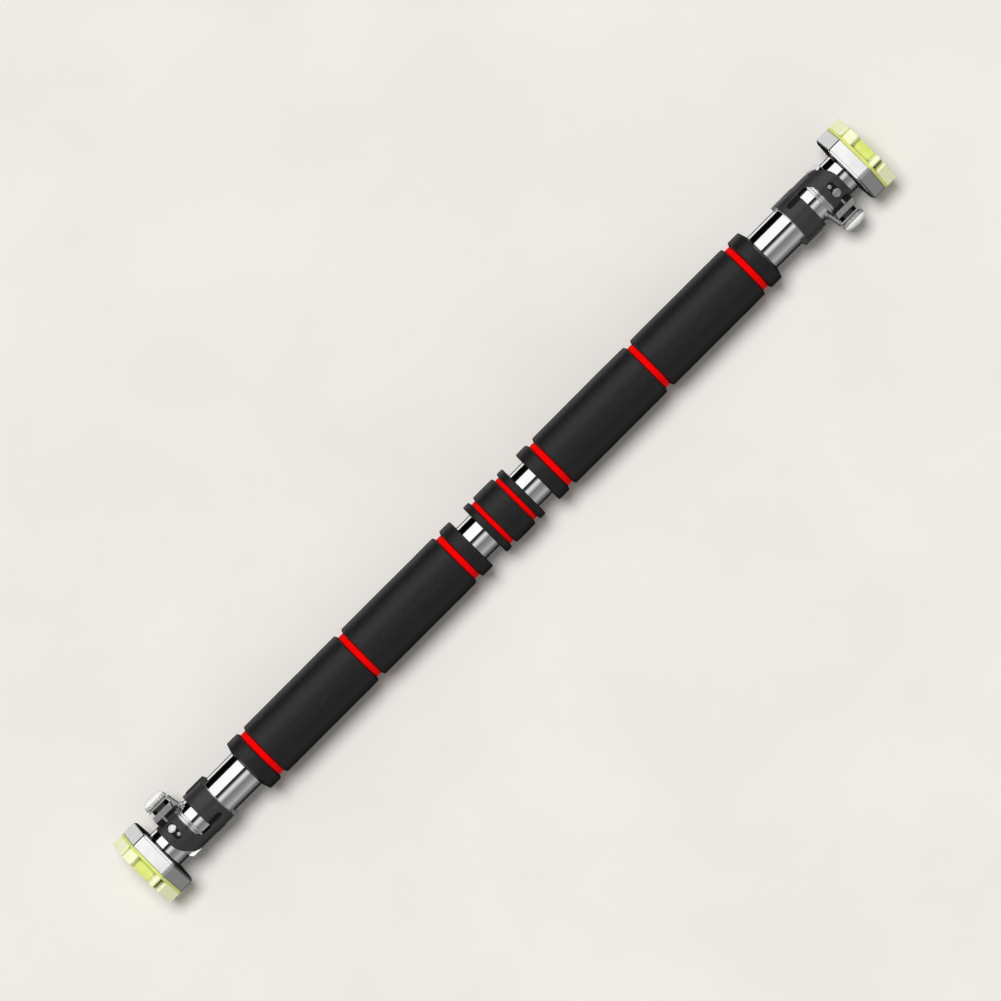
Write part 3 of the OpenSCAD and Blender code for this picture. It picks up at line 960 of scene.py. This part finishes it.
def thumb_screw():
    """The screw under the knob, from the thread it clamps to inside the knob."""
    tip, top = 12.3, 30.0
    bm = helix(tip, top, SCREW_R, SCREW_ROOT, SCREW_PITCH, 1, 32)
    for vert in bm.verts:
        along, across, up = vert.co
        vert.co = (across, up, along)
    return bm


# Piece, what draws it, how it is placed, body, slot, look and the CAD nodes it stands for
LOCK_PIECES = [
    ("cover", [cover_arm, cover_collar, cover_land], None, "bar", "lock_plastic", None, ["lock_cover"]),
    # These dark pieces are painted shade: a sheet under the fingers, the floors of the collar's slots and
    # slabs in the gap by the block.
    ("shade_sheets", [finger_shade_sheet, slot_shade_floor, block_gap_shade], None, "bar", "black_plastic", None, []),
    ("strap", [saddle], None, "bar", "chrome", None, ["saddle"]),
    ("strap_rims", [strap_rims], None, "bar", "chrome", "satin", []),
    ("tongues", [tongues], None, "bar", "chrome", "satin", []),
    ("studs", [cover_studs], None, "bar", "chrome", "satin", ["cover_studs"]),
    ("block", [lock_block], None, "bar", "steel", "ribbed_steel", ["lock_block"]),
    ("nut", [jam_nut], on_lock_axis, "bar", "steel", "dark_steel", ["jam_nut"]),
    ("plate", [bracket], None, "bar", "chrome", "satin", ["bracket"]),
    ("washer", [knob_washer], on_lock_axis, "SIDE_washer", "steel", None, ["knob_washer"]),
    ("head", [knob], on_lock_axis, "SIDE_knob", "steel", "satin", ["knob"]),
    ("cap", [knob_cap], on_lock_axis, "SIDE_knob", "nylon", "white_cap", []),
    ("clamp_screw", [thumb_screw], on_lock_axis, "SIDE_knob", "steel", None, ["thumb_screw"]),
]

for piece, makers, remap, body, slot, material, stood_for in LOCK_PIECES:
    drawn = to_mesh(joined(*[make() for make in makers]), piece, remap)
    for end, side in SIDES.items():
        add_piece(
            f"{end}_{piece}",
            lock_at(drawn, side),
            body.replace("SIDE", end),
            slot,
            [f"{end}_{node}" for node in stood_for],
            material,
        )


def collar_lip():
    """A bright lip where the collar meets the tube."""
    low, high = COLLAR_X[0] - 0.8, COLLAR_X[0] + 0.2
    profile = rounded([(low, TUBE_R), (low, 17.2), (high, 17.4), (high, TUBE_R)], 0.45)
    return bow(lathe(profile, 128))


def collar_tab():
    """The pressed tab on the side away from the thumb screw."""
    outline = [(301.6, 15.2), (301.6, 18.4), (302.2, 19.0), (313.8, 19.0), (313.8, 15.2)]
    return chamfered_block(outline, 4.5, [], 0.4)


for piece, make, slot, material in (
    ("collar_lip", collar_lip, "chrome", "satin"),
    ("collar_tab", collar_tab, "steel", None),
):
    drawn = to_mesh(make(), piece)
    for end, side in SIDES.items():
        add_piece(f"{end}_{piece}", lock_at(drawn, side), "bar", slot, [], material)

# ---------------------------------------------------------------- ends

cup_low, cup_high = node_x("right_cup")
pad_low, pad_high = node_x("right_pad")
tread_low, tread_high = node_x("right_tread")


def cup():
    """The pressed hexagonal cup: a rounded back, a thin wall and a small weld round the screw."""
    wall_in, floor_x, bend, steps = FOOT_APOTHEM - 1.5, cup_low + 2.0, 3.0, 9
    back = []
    for k in range(steps + 1):
        turn = math.pi / 2 * k / steps
        back.append((cup_low + bend - bend * math.cos(turn), FOOT_APOTHEM - bend + bend * math.sin(turn)))
    rim = quarter(cup_high - 0.4, FOOT_APOTHEM, 0.4, -0.4)
    inner = [(cup_high, wall_in + 0.3), (cup_high - 0.3, wall_in), (floor_x, wall_in)]
    shell = hexagon_loft(back + rim + inner, 2.9, steps)
    seam = [
        (cup_low + 0.3, 11.0),
        (cup_low - 0.35, 12.3),
        (cup_low - 0.3, 13.0),
        (cup_low + 0.3, 14.2),
    ]
    return joined(shell, lathe(seam, 96))


def pad():
    """The rubber: a block in the cup, a step over its rim, and a core with hexagonal rings on its face."""
    outer = FOOT_APOTHEM - PAD_INSET
    core = CORE_CORNER * math.cos(math.pi / 6)
    depth = 1.5
    held = FOOT_APOTHEM - 1.7
    foot = [(pad_low, held), (cup_high - 0.2, held), (cup_high, outer - 0.6)]
    foot += [(cup_high + 0.15, outer - 0.2), (cup_high + 0.5, outer)]
    foot += quarter(tread_low - 0.5, outer, 0.5, -0.5)
    foot += [(tread_low, core + 0.4), (tread_low + 0.4, core), (pad_high - depth, core)]
    parts = [hexagon_loft(foot, 1.4)]
    rings = [(CORE_CORNER, 23.5), (21.5, 17.5), (15.5, 11.5), (9.5, None)]
    for large, small in rings:
        outlines = [hexagon(large * math.cos(math.pi / 6) - 0.15, 1.2)]
        if small:
            outlines.append(hexagon(small * math.cos(math.pi / 6), 0.8))
        ring = plate(outlines, pad_high - depth - 0.6, pad_high, 0.45)
        for vert in ring.verts:
            vert.co = (vert.co.z, vert.co.x, vert.co.y)
        parts.append(ring)
    return joined(*parts)


def hex_reach(apothem, degrees):
    """How far a hexagon's side is from the axis at an angle from its top flat."""
    return apothem / math.cos(math.radians((degrees + 30) % 60 - 30))


def tread():
    """The blocks round the rubber's edge, between the gaps."""
    outer = FOOT_APOTHEM - PAD_INSET
    core = CORE_CORNER * math.cos(math.pi / 6) - 0.4
    parts = []
    starts = [gap[1] for gap in TREAD_GAPS]
    stops = [gap[0] for gap in TREAD_GAPS[1:]] + [TREAD_GAPS[0][0] + 360]
    for start, stop in zip(starts, stops):
        corners = [c for c in range(30, 400, 60) if start < c < stop]
        angles = [start, *corners, stop]
        rim = [(hex_reach(outer, a), a) for a in angles]
        rim += [(hex_reach(core, a), a) for a in reversed(angles)]
        points = [(r * math.sin(math.radians(a)), r * math.cos(math.radians(a))) for r, a in rim]
        block = plate([rounded(points, 0.9)], tread_low - 0.5, tread_high, 0.5)
        for vert in block.verts:
            vert.co = (vert.co.z, vert.co.x, vert.co.y)
        parts.append(block)
    return joined(*parts)


def mouth_ring():
    low, high = node_x("right_mouth_ring")
    bore, rim = 12.4, TUBE_BORE - 0.02
    profile = [(low, bore), (low, rim), (high - 0.3, rim), (high, 14.1), (high, bore)]
    return lathe(rounded(profile, 0.25), 96)


def threaded_rod():
    """The adjusting screw; its last millimetre, inside the cup, is left off."""
    low, high = node_x("right_screw")
    return helix(low, high - 1.0, THREAD_R, THREAD_ROOT, THREAD_PITCH, 1)


for piece, make, body, slot, stood_for in (
    ("foot_cup", cup, "SIDE_end", "chrome", "cup"),
    ("foot_rubber", pad, "SIDE_end", "green_rubber", "pad"),
    ("foot_blocks", tread, "SIDE_end", "pale_rubber", "tread"),
    ("mouth", mouth_ring, "bar", "black_plastic", "mouth_ring"),
    ("threaded_rod", threaded_rod, "SIDE_end", "steel", "screw"),
):
    drawn = to_mesh(make(), piece)
    for end, side in SIDES.items():
        add_piece(
            f"{end}_{piece}",
            foot_at(drawn, side),
            body.replace("SIDE", end),
            slot,
            [f"{end}_{stood_for}"],
        )

# The pieces that the tube and the cups hide keep their CAD shape
INSIDE = {
    "thread_nut": "steel",
    "spindle": "steel",
    "guide_nut": "steel",
    "foot_flange": "steel",
    "guide_bush": "nylon",
}
for end in SIDES:
    for node, slot in INSIDE.items():
        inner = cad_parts[f"{end}_{node}"]
        inner.data.materials.clear()
        inner.data.materials.append(MATERIALS[slot])

# ---------------------------------------------------------------- floor, light and camera

FLOOR_Z = -FOOT_APOTHEM * MM
FLOOR_REACH = 6
floor_corners = [
    (-FLOOR_REACH, -FLOOR_REACH, FLOOR_Z),
    (FLOOR_REACH, -FLOOR_REACH, FLOOR_Z),
    (FLOOR_REACH, FLOOR_REACH, FLOOR_Z),
    (-FLOOR_REACH, FLOOR_REACH, FLOOR_Z),
]
floor_mesh = bpy.data.meshes.new("floor")
floor_mesh.from_pydata(floor_corners, [], [(0, 1, 2, 3)])
floor = bpy.data.objects.new("floor", floor_mesh)
scene.collection.objects.link(floor)
floor.visible_glossy = False
floor_material, floor_tree, floor_shader = make_material("pale_plaster")
floor_place = place_coordinates(floor_tree)
cloud = noise_map(floor_tree, floor_place, 0.006, 5.0)
sand = noise_map(floor_tree, floor_place, 0.12, 4.0)
clouds = ramp(floor_tree, cloud, [(0.35, 0.0), (0.65, 1.0)])
floor_colour = mix_colour(floor_tree, clouds, (0.785, 0.755, 0.736), (0.825, 0.797, 0.778))
floor_tree.links.new(floor_colour, floor_shader.inputs["Base Color"])
floor_shader.inputs["Roughness"].default_value = 0.9
floor_shader.inputs["Specular IOR Level"].default_value = 0.1
add_bump(floor_tree, floor_shader, [(cloud, 0.2, 2.0), (sand, 0.15, 0.4)])
floor_mesh.materials.append(floor_material)

# Long soft boxes along the bar, seen only in gloss: the angle round the bar in degrees, which is 0 straight
# above, 90 at +Y and 180 straight below, and the brightness there
SOFT_BOXES = [
    (-180, 0.010), (-150, 0.010), (-146, 0.014), (-120, 0.165), (-92, 0.47), (-70, 0.29),
    (-45, 0.20), (-25, 0.83), (-20, 0.83), (-11, 0.19), (-6, 0.020), (4.6, 0.018),
    (6.2, 1.12), (61.5, 1.12), (65, 0.002), (114, 0.002), (117, 1.1), (121, 1.1),
    (123.5, 0.74), (130.5, 0.74), (133, 1.1), (139, 1.1), (142, 0.010), (180, 0.010),
]
# Every box has a dim gap in it, off to each end of the bar: how far along the bar the gloss looks,
# from 0 straight across to 1 along it, and the share of the box's brightness
END_GAPS = [(0.20, 1.0), (0.25, 0.16), (0.38, 0.16), (0.46, 1.0)]
# What lights the matt surfaces from all round, and what the camera would see past the floor
FILL = (0.238, 0.244, 0.232)
BACKDROP = (0.84, 0.81, 0.79)
world = bpy.data.worlds.new("studio")
scene.world = world
world.use_nodes = True
world_tree = world.node_tree
background = world_tree.nodes["Background"]
direction = world_tree.nodes.new("ShaderNodeTexCoord")
split = world_tree.nodes.new("ShaderNodeSeparateXYZ")
world_tree.links.new(direction.outputs["Generated"], split.inputs["Vector"])
angle = math_node(world_tree, "ARCTAN2", split.outputs["Y"], split.outputs["Z"])
turn = math_node(world_tree, "ADD", math_node(world_tree, "MULTIPLY", angle, 0.5 / math.pi), 0.5)
boxes = ramp(world_tree, turn, [((a + 180) / 360, v) for a, v in SOFT_BOXES])
endwise = math_node(world_tree, "ABSOLUTE", split.outputs["X"])
gloss = math_node(world_tree, "MULTIPLY", boxes, ramp(world_tree, endwise, END_GAPS))
path = world_tree.nodes.new("ShaderNodeLightPath")
lit = mix_colour(world_tree, path.outputs["Is Glossy Ray"], FILL, gloss)
seen = mix_colour(world_tree, path.outputs["Is Camera Ray"], lit, BACKDROP)
world_tree.links.new(seen, background.inputs["Color"])


def add_sun(name, elevation, towards_y, width, power, colour):
    """A soft sun over the +Y or -Y side of the bar, its elevation and width in degrees.

    Gloss doesn't see it, only the boxes.
    """
    data = bpy.data.lights.new(name, "SUN")
    data.angle = math.radians(width)
    data.energy = power
    data.color = colour
    sun = bpy.data.objects.new(name, data)
    scene.collection.objects.link(sun)
    sun.rotation_euler = (math.radians(-(90 - elevation) * towards_y), 0, 0)
    sun.visible_glossy = False


add_sun("key", elevation=77, towards_y=1, width=27, power=2.50, colour=(1.0, 0.995, 0.985))
add_sun("side_fill", elevation=30, towards_y=-1, width=70, power=0.35, colour=(1.0, 0.995, 0.98))

CAMERA_TILT = math.radians(6.8)
CAMERA_DISTANCE = 7.0
CAMERA_LENS = 335.7
CAMERA_SENSOR = 36
AIM_RIGHT = -0.00286
AIM_UP = 0.00754
toward = Vector((0, -math.sin(CAMERA_TILT), math.cos(CAMERA_TILT)))
across_bar = Vector((0, math.cos(CAMERA_TILT), math.sin(CAMERA_TILT)))
along_bar = Vector((1, 0, 0))
camera_right = (along_bar - across_bar) * math.sqrt(0.5)
camera_up = (along_bar + across_bar) * math.sqrt(0.5)
aim = camera_right * AIM_RIGHT + camera_up * AIM_UP
camera_data = bpy.data.cameras.new("camera")
camera_data.sensor_width = CAMERA_SENSOR
camera_data.lens = CAMERA_LENS
camera_data.clip_start = 0.1
camera_data.clip_end = 50
camera = bpy.data.objects.new("camera", camera_data)
scene.collection.objects.link(camera)
turned = Matrix((camera_right, camera_up, toward)).transposed().to_4x4()
camera.matrix_world = Matrix.Translation(aim + toward * CAMERA_DISTANCE) @ turned
scene.camera = camera
scene.view_settings.view_transform = "Standard"
